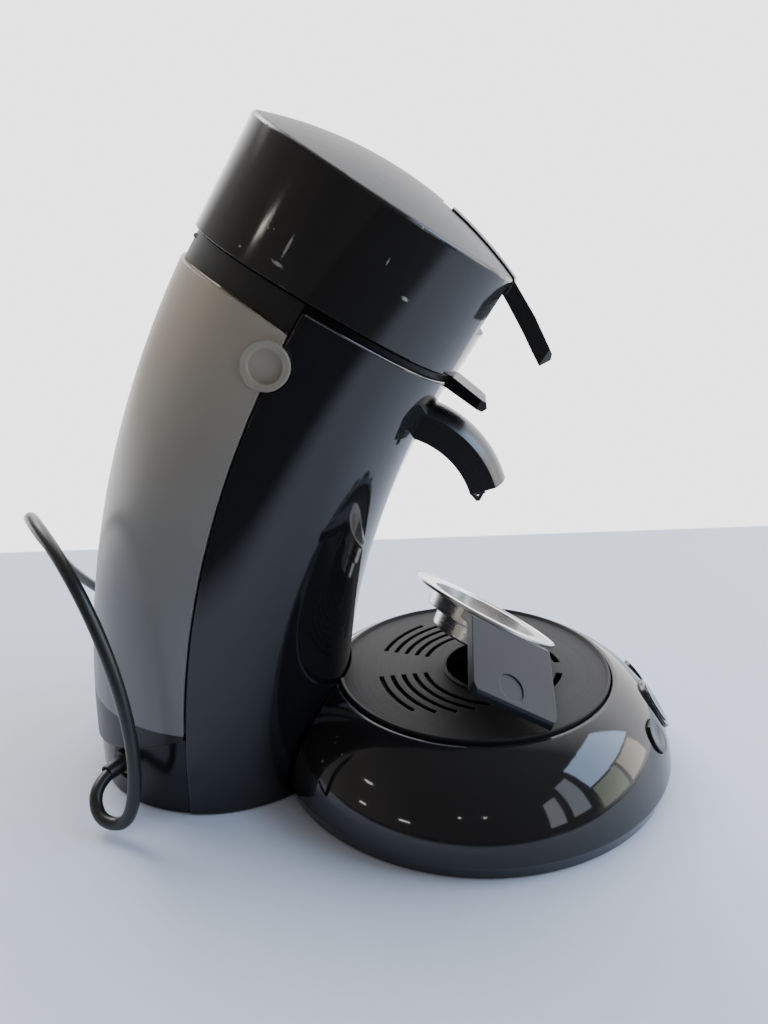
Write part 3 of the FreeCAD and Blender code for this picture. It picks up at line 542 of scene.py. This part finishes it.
class Finishes:
    """All the finishes of the machine, built once."""

    def __init__(self, effects: EffectLibrary) -> None:
        """Make every material.

        Args:
            effects: The shared node groups.
        """
        dish = ((0.279, -0.4533, 0.8465), (0.0139, -0.05802, 0.07763))
        rubs = (((-0.0672, 0.0242, 0.2722), (0.006, 0.0008, 0.0070)),
                ((-0.0669, 0.0290, 0.2655), (0.006, 0.0040, 0.0010)),
                ((-0.0629, -0.0215, 0.2507), (0.004, 0.0020, 0.0011)),
                ((-0.0631, 0.0327, 0.2791), (0.004, 0.0006, 0.0006)),
                ((-0.0642, 0.0301, 0.2787), (0.004, 0.0005, 0.0005)),
                ((-0.0664, -0.0291, 0.2778), (0.004, 0.0006, 0.0006)),
                ((-0.0592, 0.0456, 0.2723), (0.004, 0.0008, 0.0007)),
                ((-0.0678, -0.0153, 0.2654), (0.004, 0.0004, 0.0022)))
        specs = [
            Finish("gloss_black", (0.0048, 0.0048, 0.0056), (0.0075, 0.0075, 0.0085), 0.05, 0.03, dust=0.16,
                   scratch=0.5, ior=1.52, edge=0.0012),
            Finish("lid_black", (0.0088, 0.0080, 0.0076), (0.0130, 0.0120, 0.0112), 0.085, 0.05, dust=0.45,
                   scratch=0.8, ior=1.50, dust_color=(0.36, 0.35, 0.33), top_dull=0.34, scuffs=rubs),
            Finish("bead_black", (0.010, 0.010, 0.011), (0.014, 0.014, 0.015), 0.10, 0.04, dust=0.05,
                   ior=1.75, coat=1.0),
            Finish("collar_black", (0.0105, 0.0098, 0.0094), (0.015, 0.0142, 0.0136), 0.46, 0.1, grain=0.2,
                   grain_scale=2600.0, dust=0.2, ior=1.42),
            Finish("rim_black", (0.0030, 0.0030, 0.0033), (0.005, 0.0048, 0.0052), 0.36, 0.08, grain=0.1,
                   grain_scale=2600.0, dust=0.06, ior=1.24),
            Finish("skirt_black", (0.0040, 0.0040, 0.0048), (0.007, 0.007, 0.008), 0.16, 0.06, grain=0.05,
                   dust=0.14, ior=1.36),
            Finish("spout_satin", (0.0085, 0.0082, 0.0092), (0.013, 0.0125, 0.0135), 0.27, 0.08, grain=0.08,
                   grain_scale=3000.0, dust=0.2),
            Finish("inner_black", (0.010, 0.010, 0.011), (0.016, 0.016, 0.017), 0.36, 0.1, grain=0.15,
                   grain_scale=2600.0, dust=0.15),
            Finish("grate_grey", (0.0085, 0.0083, 0.0088), (0.015, 0.0147, 0.0154), 0.40, 0.12, grain=0.34,
                   grain_scale=2400.0, dust=0.20, edge=0.0009, ior=1.27, brush_axis=(0.0, 0.0, 1.0),
                   brush_center=(0.0, -0.064, 0.05), brush_pitch=460.0),
            # Dark grey satin grip whose colour carries a painted bluish sheen, a painted reflection.
            Finish("grip_satin_blue_sheen", (0.010, 0.0112, 0.015), (0.016, 0.0176, 0.023), 0.32, 0.1, metallic=0.05,
                   grain=0.10, grain_scale=3600.0, dust=0.06, edge=0.0008, ior=1.28),
            Finish("button_black", (0.008, 0.008, 0.009), (0.012, 0.012, 0.013), 0.12, 0.06, dust=0.3,
                   scratch=0.4),
            Finish("ring_smoked", (0.035, 0.035, 0.038), (0.05, 0.05, 0.053), 0.12, 0.05, dust=0.1,
                   transmission=0.35),
            # Smoky tank with painted light: lighter and warmer towards its top.
            Finish("smoky_clear", (0.315, 0.33, 0.335), (0.37, 0.378, 0.37), 0.36, 0.06, dust=0.12,
                   transmission=0.5, ior=1.46, painted_light_color=(0.72, 0.655, 0.535), painted_light_from=(0.08, 0.29),
                   edge=0.0012, foot=(0.088, 0.0462, 0.06)),
            Finish("dish_steel", (0.66, 0.645, 0.62), (0.75, 0.74, 0.72), 0.19, 0.06, metallic=1.0,
                   dust=0.08, brush_axis=dish[0], brush_center=dish[1]),
            Finish("plain_steel", (0.55, 0.55, 0.55), (0.66, 0.66, 0.66), 0.26, 0.1, metallic=1.0, dust=0.1,
                   scratch=0.6),
            Finish("boiler_metal", (0.58, 0.58, 0.59), (0.68, 0.68, 0.69), 0.34, 0.15, metallic=1.0,
                   dust=0.1, scratch=0.4),
            Finish("seal_rubber", (0.018, 0.017, 0.016), (0.028, 0.027, 0.026), 0.62, 0.12, grain=0.2,
                   dust=0.3),
            Finish("hose_silicone", (0.55, 0.53, 0.5), (0.62, 0.6, 0.57), 0.45, 0.1, grain=0.1, dust=0.1),
            Finish("lead_black", (0.009, 0.009, 0.009), (0.014, 0.014, 0.014), 0.32, 0.1, grain=0.1,
                   dust=0.2),
            Finish("works_pale", (0.48, 0.47, 0.43), (0.56, 0.55, 0.51), 0.42, 0.1, grain=0.2, dust=0.2),
            Finish("works_dark", (0.05, 0.05, 0.055), (0.07, 0.07, 0.075), 0.45, 0.1, grain=0.3, dust=0.2),
            Finish("board_green", (0.02, 0.12, 0.05), (0.03, 0.16, 0.07), 0.35, 0.1, grain=0.1, dust=0.1),
            Finish("pin_brass", (0.70, 0.55, 0.28), (0.78, 0.63, 0.36), 0.22, 0.1, metallic=1.0, dust=0.05,
                   scratch=0.5),
        ]
        self.materials = {spec.name: spec.build(effects) for spec in specs}

    def dress(self, finish: str, *nodes: str) -> None:
        """Give CAD nodes a finish.

        Args:
            finish: Name of the finish.
            nodes: Names of the nodes.
        """
        for name in nodes:
            paint(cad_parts[name], self.materials[finish])
            LOG.info("%s finished as %s", name, finish)


def paint(piece: bpy.types.Object, material: bpy.types.Material) -> None:
    """Put one material in every slot of a piece.

    Args:
        piece: The piece.
        material: The material.
    """
    if not piece.material_slots:
        piece.data.materials.append(material)
    for slot in piece.material_slots:
        slot.material = material


@dataclass
class Studio:
    """Camera, floor and light.

    Attributes:
        eye: Where the camera stands.
        yaw: Its heading in degrees, from X towards Y.
        pitch: How far it looks down, in degrees.
        roll: Its tilt in degrees.
        focal_px: Focal length in the photograph's pixels.
        long_side_px: Long side of the photograph.
        sensor_mm: Width of the sensor.
        near_clip: Closest distance that is drawn.
        floor_half: Half the floor's width.
        floor_tones: The two colours that the tabletop is mottled with.
        floor_roughness: Its roughness.
        near_fade: X between which the painted shade in the tabletop's reflection goes over to pale.
        near_painted_shade: Painted shade that the near side shows in reflections and bounce light, where
            the camera doesn't see it directly.
        edge: Slope and place of the line where the tabletop ends.
        edge_blur: Width of that line.
        wall: Tint of the surround.
        glow: Its strength.
        far_tilt: Share of the height that is added to X for telling the far side.
        far_fade: Span in which the room goes over to the surround.
        room_dim: Colour of the room on the near side.
        room_warm: Colour of the room on the left.
        warm_fade: Span of Y in which the room turns warm.
        warm_most: How far it turns warm.
        lamp: Colour and strength of the light high up behind the machine.
        lamp_limits: Spans of each axis in which that light comes up.
        window_y: Where the window stands.
        strip_aim: Point that the ceiling strips look at.
        strip_high: Height of a strip.
        strip_shine: Brightness of a strip.
        strip_tint: Tint of a strip.
    """

    eye: Xyz = (-0.41933, -0.0455, 0.28266)
    yaw: float = 5.54
    pitch: float = 18.93
    roll: float = -1.37
    focal_px: float = 863.76
    long_side_px: float = 1024.0
    sensor_mm: float = 36.0
    near_clip: float = 0.01
    floor_half: float = 6.0
    floor_tones: tuple[Rgb, Rgb] = ((0.68, 0.74, 0.85), (0.75, 0.81, 0.91))
    floor_roughness: float = 0.55
    near_fade: tuple[float, float] = (-0.40, -0.255)
    near_painted_shade: Rgb = (0.06, 0.062, 0.07)
    edge: tuple[float, float] = (0.129, 0.3255)
    edge_blur: float = 0.003
    wall: Rgb = (0.985, 0.985, 1.0)
    glow: float = 3.0
    far_tilt: float = -0.55
    far_fade: tuple[float, float] = (-0.45, 0.25)
    room_dim: Rgb = (0.19, 0.18, 0.18)
    room_warm: Rgb = (0.34, 0.31, 0.28)
    warm_fade: tuple[float, float] = (0.46, 0.78)
    warm_most: float = 0.9
    lamp: Rgb = (10.0, 10.0, 10.3)
    lamp_limits: tuple[tuple[str, float, float], ...] = (
        ("Z", 0.45, 0.65), ("Y", 0.25, 0.45), ("X", 0.22, 0.45))
    window_y: float = -1.4
    strip_aim: Xyz = (-0.09, -0.03, 0.03)
    strip_high: float = 0.05
    strip_shine: float = 16.0
    strip_tint: Rgb = (1.0, 0.96, 0.88)

    def build(self) -> None:
        """Make everything that isn't part of the machine."""
        self._camera()
        self._floor()
        self._world()
        self._lights()

    def _camera(self) -> None:
        """Camera at the photograph's viewing angle."""
        yaw, pitch, roll = (math.radians(v) for v in (self.yaw, self.pitch, self.roll))
        ahead = Vector((math.cos(yaw) * math.cos(pitch), math.sin(yaw) * math.cos(pitch), -math.sin(pitch)))
        side = ahead.cross(Vector((0, 0, 1))).normalized()
        up = side.cross(ahead)
        right = side * math.cos(roll) + up * math.sin(roll)
        top = up * math.cos(roll) - side * math.sin(roll)
        data = bpy.data.cameras.new("camera")
        data.sensor_width = self.sensor_mm
        data.lens = self.focal_px * self.sensor_mm / self.long_side_px
        data.clip_start = self.near_clip
        camera = bpy.data.objects.new("camera", data)
        turn = Matrix((right, top, -ahead)).transposed().to_4x4()
        camera.matrix_world = Matrix.Translation(self.eye) @ turn
        bpy.context.scene.collection.objects.link(camera)
        bpy.context.scene.camera = camera

    def _floor(self) -> None:
        """Pale tabletop that ends in a white surround behind the machine, with painted shade in front that
        only reflections and bounce light see.
        """
        bm = bmesh.new()
        bmesh.ops.create_grid(bm, x_segments=1, y_segments=1, size=self.floor_half)
        floor = mesh_object("floor", bm)
        mat = bpy.data.materials.new("floor_pale")
        mat.use_nodes = True
        g = Graph(mat.node_tree)
        bsdf = mat.node_tree.nodes["Principled BSDF"]
        where = g.add("TexCoord").outputs["Object"]
        speck = g.noise(where, scale=260.0, detail=6.0)
        cloud = g.noise(where, scale=9.0, detail=3.0)
        both = g.math("MULTIPLY_ADD", cloud, 0.5, g.math("MULTIPLY", speck, 0.5))
        top = g.mix_rgb(both, *self.floor_tones)
        split = g.split(where)
        # Painted shade: the near side is dark for reflections and bounce light, and pale only to the
        # camera.
        near = g.ramp(split["X"], *self.near_fade, shape="SMOOTHSTEP")
        seen = g.add("LightPath").outputs["Is Camera Ray"]
        top = g.mix_rgb(g.math("MAXIMUM", near, seen), self.near_painted_shade, top)
        reach = g.math("MULTIPLY_ADD", split["Y"], self.edge[0], split["X"])
        past = g.ramp(reach, low=self.edge[1], high=self.edge[1] + self.edge_blur)
        g.join(g.mix_rgb(past, top, (0.0, 0.0, 0.0)), bsdf.inputs["Base Color"])
        bsdf.inputs["Emission Color"].default_value = (*self.wall, 1.0)
        g.join(g.math("MULTIPLY", past, self.glow), bsdf.inputs["Emission Strength"])
        g.join(g.math("MULTIPLY_ADD", past, -0.5, 0.5), bsdf.inputs["Specular IOR Level"])
        bsdf.inputs["Roughness"].default_value = self.floor_roughness
        paint(floor, mat)

    def _world(self) -> None:
        """Bright surround and lamp behind the machine, dim room in front, warmer on one side."""
        world = bpy.data.worlds.new("room")
        bpy.context.scene.world = world
        world.use_nodes = True
        g = Graph(world.node_tree)
        back = world.node_tree.nodes["Background"]
        way = g.split(g.add("TexCoord").outputs["Generated"])
        far = g.ramp(g.math("MULTIPLY_ADD", way["Z"], self.far_tilt, way["X"]), *self.far_fade)
        bright = tuple(v * self.glow for v in self.wall)
        sides = g.mix_rgb(far, self.room_dim, bright)
        aside = g.ramp(way["Y"], *self.warm_fade, to_high=self.warm_most)
        sides = g.mix_rgb(aside, sides, self.room_warm)
        inside = [g.ramp(way[axis], low, high) for axis, low, high in self.lamp_limits]
        lit = g.math("MULTIPLY", g.math("MULTIPLY", inside[0], inside[1]), inside[2])
        room = g.mix_rgb(lit, sides, self.lamp)
        seen = g.add("LightPath").outputs["Is Camera Ray"]
        g.join(g.mix_rgb(seen, room, bright), back.inputs["Color"])
        back.inputs["Strength"].default_value = 1.0

    def _lights(self) -> None:
        """Tall window in panes on the front side, with a few ceiling strips behind the camera."""
        blue, pale, warm = (0.50, 0.68, 1.0), (0.86, 0.92, 1.0), (1.0, 0.90, 0.76)
        leaf, dim = (0.62, 0.72, 0.55), (0.80, 0.90, 1.0)
        panes = [((0.03, 1.08), (1.12, 0.90), blue, 8.0), ((-0.25, 0.33), (0.48, 0.50), leaf, 3.0),
                 ((0.28, 0.33), (0.46, 0.50), warm, 3.6), ((-0.86, 0.80), (0.36, 1.10), dim, 2.6),
                 ((-1.42, 0.66), (0.40, 0.90), pale, 2.6)]
        for number, ((x, z), (wide, high), color, shine) in enumerate(panes):
            watts = shine * math.pi * wide * high
            self._area(f"pane_{number}", (x, self.window_y, z), (x, 0.0, z), wide, high, watts, color)
        strips = [((-1.0, 1.91, 1.16), 0.20), ((-1.28, 2.08, 0.40), 0.14), ((-2.05, 1.33, 0.42), 0.22),
                  ((-2.28, 0.2, 0.99), 0.06), ((-2.26, -0.33, 1.03), 0.06)]
        for number, (place, wide) in enumerate(strips):
            watts = self.strip_shine * math.pi * wide * self.strip_high
            self._area(f"strip_{number}", place, self.strip_aim, wide, self.strip_high, watts,
                       self.strip_tint)

    def _area(self, name: str, place: Xyz, aim: Xyz, wide: float, high: float, watts: float,
              color: Rgb) -> None:
        """Add one area light.

        Args:
            name: Name of the light.
            place: Where it stands.
            aim: Point that it looks at.
            wide: Width in metres.
            high: Height in metres.
            watts: Its power.
            color: Its tint.
        """
        data = bpy.data.lights.new(name, "AREA")
        data.shape, data.size, data.size_y, data.energy = "RECTANGLE", wide, high, watts
        data.color = color
        lamp = bpy.data.objects.new(name, data)
        lamp.location = place
        lamp.rotation_euler = (Vector(aim) - Vector(place)).to_track_quat("-Z", "Y").to_euler()
        bpy.context.scene.collection.objects.link(lamp)


def mesh_object(name: str, bm: bmesh.types.BMesh) -> bpy.types.Object:
    """Turn a bmesh into an object at the origin.

    Args:
        name: Name of the object and its mesh.
        bm: The mesh, which is freed.

    Returns:
        The new object.
    """
    mesh = bpy.data.meshes.new(name)
    for face in bm.faces:
        face.smooth = True
    bm.to_mesh(mesh)
    bm.free()
    piece = bpy.data.objects.new(name, mesh)
    bpy.context.scene.collection.objects.link(piece)
    return piece


def tube(name: str, kind: str, points: list[Xyz], radius: float, rounds: int,
         material: bpy.types.Material) -> bpy.types.Object:
    """Lay a round tube along a curve.

    Args:
        name: Name of the object and its curve.
        kind: Blender's name of the spline type.
        points: The curve's points in millimetres.
        radius: Radius in metres.
        rounds: How finely the section is rounded.
        material: What the tube is made of.

    Returns:
        The new curve object.
    """
    data = bpy.data.curves.new(name, "CURVE")
    data.dimensions = "3D"
    data.bevel_depth = radius
    data.bevel_resolution = rounds
    data.use_fill_caps = True
    line = data.splines.new(kind)
    line.points.add(len(points) - 1)
    for point, at in zip(line.points, points):
        point.co = (*(v / MM_PER_M for v in at), 1.0)
    piece = bpy.data.objects.new(name, data)
    bpy.context.scene.collection.objects.link(piece)
    piece.data.materials.append(material)
    return piece


@dataclass
class Lead:
    """Mains lead from its gland behind the skirt to the plug on the table.

    Attributes:
        radius: Radius in metres.
        length: Length in metres, as stated; not used.
        order: Order of the curve.
        steps: Points of the curve between two points of the route.
        rounds: How finely the section is rounded.
        route: Points that it is led by, in millimetres.
    """

    radius: float = 0.0032
    length: float = 0.772
    order: int = 3
    steps: int = 10
    rounds: int = 5
    route: list[Xyz] = field(default_factory=lambda: [
        (-56.0, 127.9, 20.3), (-71.0, 136.0, 19.2), (-84.5, 131.0, 8.0), (-88.5, 115.0, 7.5),
        (-88.0, 108.0, 25.0), (-84.0, 107.7, 56.1), (-80.0, 115.7, 95.6), (-74.0, 131.7, 134.9),
        (-34.0, 170.5, 152.0), (30.0, 196.0, 106.0), (92.0, 205.0, 54.0), (142.0, 180.0, 3.6),
        (182.0, 148.0, 3.6), (230.0, 152.0, 3.6), (270.0, 128.0, 3.6), (280.0, 84.0, 3.6),
        (248.0, 56.0, 3.6), (206.0, 66.0, 3.6), (176.0, 100.0, 3.6)])

    def build(self, finishes: Finishes) -> None:
        """Lay the lead and dress what is on it.

        Args:
            finishes: The machine's materials.
        """
        lead = tube("lead", "NURBS", self.route, self.radius, self.rounds, finishes.materials["lead_black"])
        lead.data.resolution_u = self.steps
        line = lead.data.splines[0]
        line.order_u = self.order
        line.use_endpoint_u = True
        finishes.dress("lead_black", "cord_gland", "plug_body")
        finishes.dress("pin_brass", "plug_pins")
        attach(lead, Body.MACHINE.value)
        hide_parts("power_cord")


@dataclass
class Base:
    """Dome, drip tray and buttons."""

    def build(self, finishes: Finishes) -> None:
        """Dress the base's pieces.

        Args:
            finishes: The machine's materials.
        """
        finishes.dress("gloss_black", "base_cover")
        finishes.dress("inner_black", "base_plate", "button_carrier", "drip_bowl")
        finishes.dress("grate_grey", "drip_grate")
        finishes.dress("seal_rubber", "rubber_feet")
        finishes.dress("plain_steel", "base_screws")
        finishes.dress("ring_smoked", "power_ring")
        finishes.dress("button_black", "button_power", "button_one_cup", "button_two_cup")
        finishes.dress("board_green", "control_board")


@dataclass
class Column:
    """Leaning column, tank, collar and skirt, with the works inside.

    Attributes:
        bead: Radius in metres of the bead along the column's top edge.
        bead_points: How many points it runs through.
        bead_start: Angle of the first one in degrees, 0 at the front.
        bead_step: Angle from one to the next.
        bead_rounds: How finely its section is rounded.
        radius: The column's radius in millimetres.
        head_at: Y and Z of the head's centre.
        seam_radius: Radius of the bow that cuts the column's top edge.
        seam_center: The bow's centre, in the head's plane and along its axis.
    """

    bead: float = 0.00055
    bead_points: int = 73
    bead_start: float = -90.0
    bead_step: float = 2.5
    bead_rounds: int = 3
    radius: float = 69.0
    head_at: tuple[float, float] = (17.0564, 247.6412)
    seam_radius: float = 645.4
    seam_center: tuple[float, float] = (-20.0, -647.4)

    def build(self, finishes: Finishes) -> None:
        """Dress the column's pieces.

        Args:
            finishes: The machine's materials.
        """
        finishes.dress("gloss_black", "column_shell")
        finishes.dress("spout_satin", "spout_hood")
        finishes.dress("collar_black", "rear_collar")
        finishes.dress("skirt_black", "rear_skirt")
        finishes.dress("inner_black", "bay_wall", "spout_channel", "spout_nozzle", "spout_socket")
        finishes.dress("rim_black", "brew_chamber")
        finishes.dress("smoky_clear", "water_tank")
        finishes.dress("works_pale", "tank_valve", "thermostat")
        finishes.dress("works_dark", "pump", "pump_mount")
        finishes.dress("boiler_metal", "boiler", "boiler_bracket")
        finishes.dress("seal_rubber", "seat_seal")
        finishes.dress("hose_silicone", "hose_suction", "hose_feed", "hose_head")
        self._edge_bead(finishes)

    def _edge_bead(self, finishes: Finishes) -> None:
        """Rounded top edge of the column shell, which catches the light under the lid.

        Args:
            finishes: The machine's materials.
        """
        mid, low = self.seam_center
        points = []
        for number in range(self.bead_points):
            turn = math.radians(self.bead_start + self.bead_step * number)
            across, ahead = self.radius * math.sin(turn), -self.radius * math.cos(turn)
            rise = low + math.sqrt(self.seam_radius ** 2 - (ahead - mid) ** 2)
            y = self.head_at[0] + ahead * math.cos(HEAD_LEAN) - rise * math.sin(HEAD_LEAN)
            z = self.head_at[1] + ahead * math.sin(HEAD_LEAN) + rise * math.cos(HEAD_LEAN)
            points.append((across, y, z))
        bead = tube("edge_bead", "POLY", points, self.bead, self.bead_rounds,
                    finishes.materials["bead_black"])
        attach(bead, Body.MACHINE.value)


@dataclass
class Lid:
    """Tilted lid with its lever, latch and water head."""

    def build(self, finishes: Finishes) -> None:
        """Dress the lid's pieces.

        Args:
            finishes: The machine's materials.
        """
        finishes.dress("lid_black", "lid_shell", "lid_lever")
        finishes.dress("inner_black", "lid_liner", "latch_housing", "latch_nose")
        finishes.dress("plain_steel", "lid_hinge_pin", "lever_pin", "shower_disc")
        finishes.dress("seal_rubber", "lid_seal")


@dataclass
class PodHolder:
    """Loose pod holder that stands on the grate."""

    def build(self, finishes: Finishes) -> None:
        """Dress the holder's pieces.

        Args:
            finishes: The machine's materials.
        """
        finishes.dress("dish_steel", "pod_dish")
        finishes.dress("grip_satin_blue_sheen", "pod_grip")


def main() -> None:
    """Build the studio and every sub-assembly."""
    logging.basicConfig(level=logging.INFO, format="%(name)s: %(message)s")
    Studio().build()
    finishes = Finishes(EffectLibrary())
    for group in (Lead(), Base(), Column(), Lid(), PodHolder()):
        group.build(finishes)
        LOG.info("%s built", type(group).__name__)


if __name__ == "__main__":
    main()
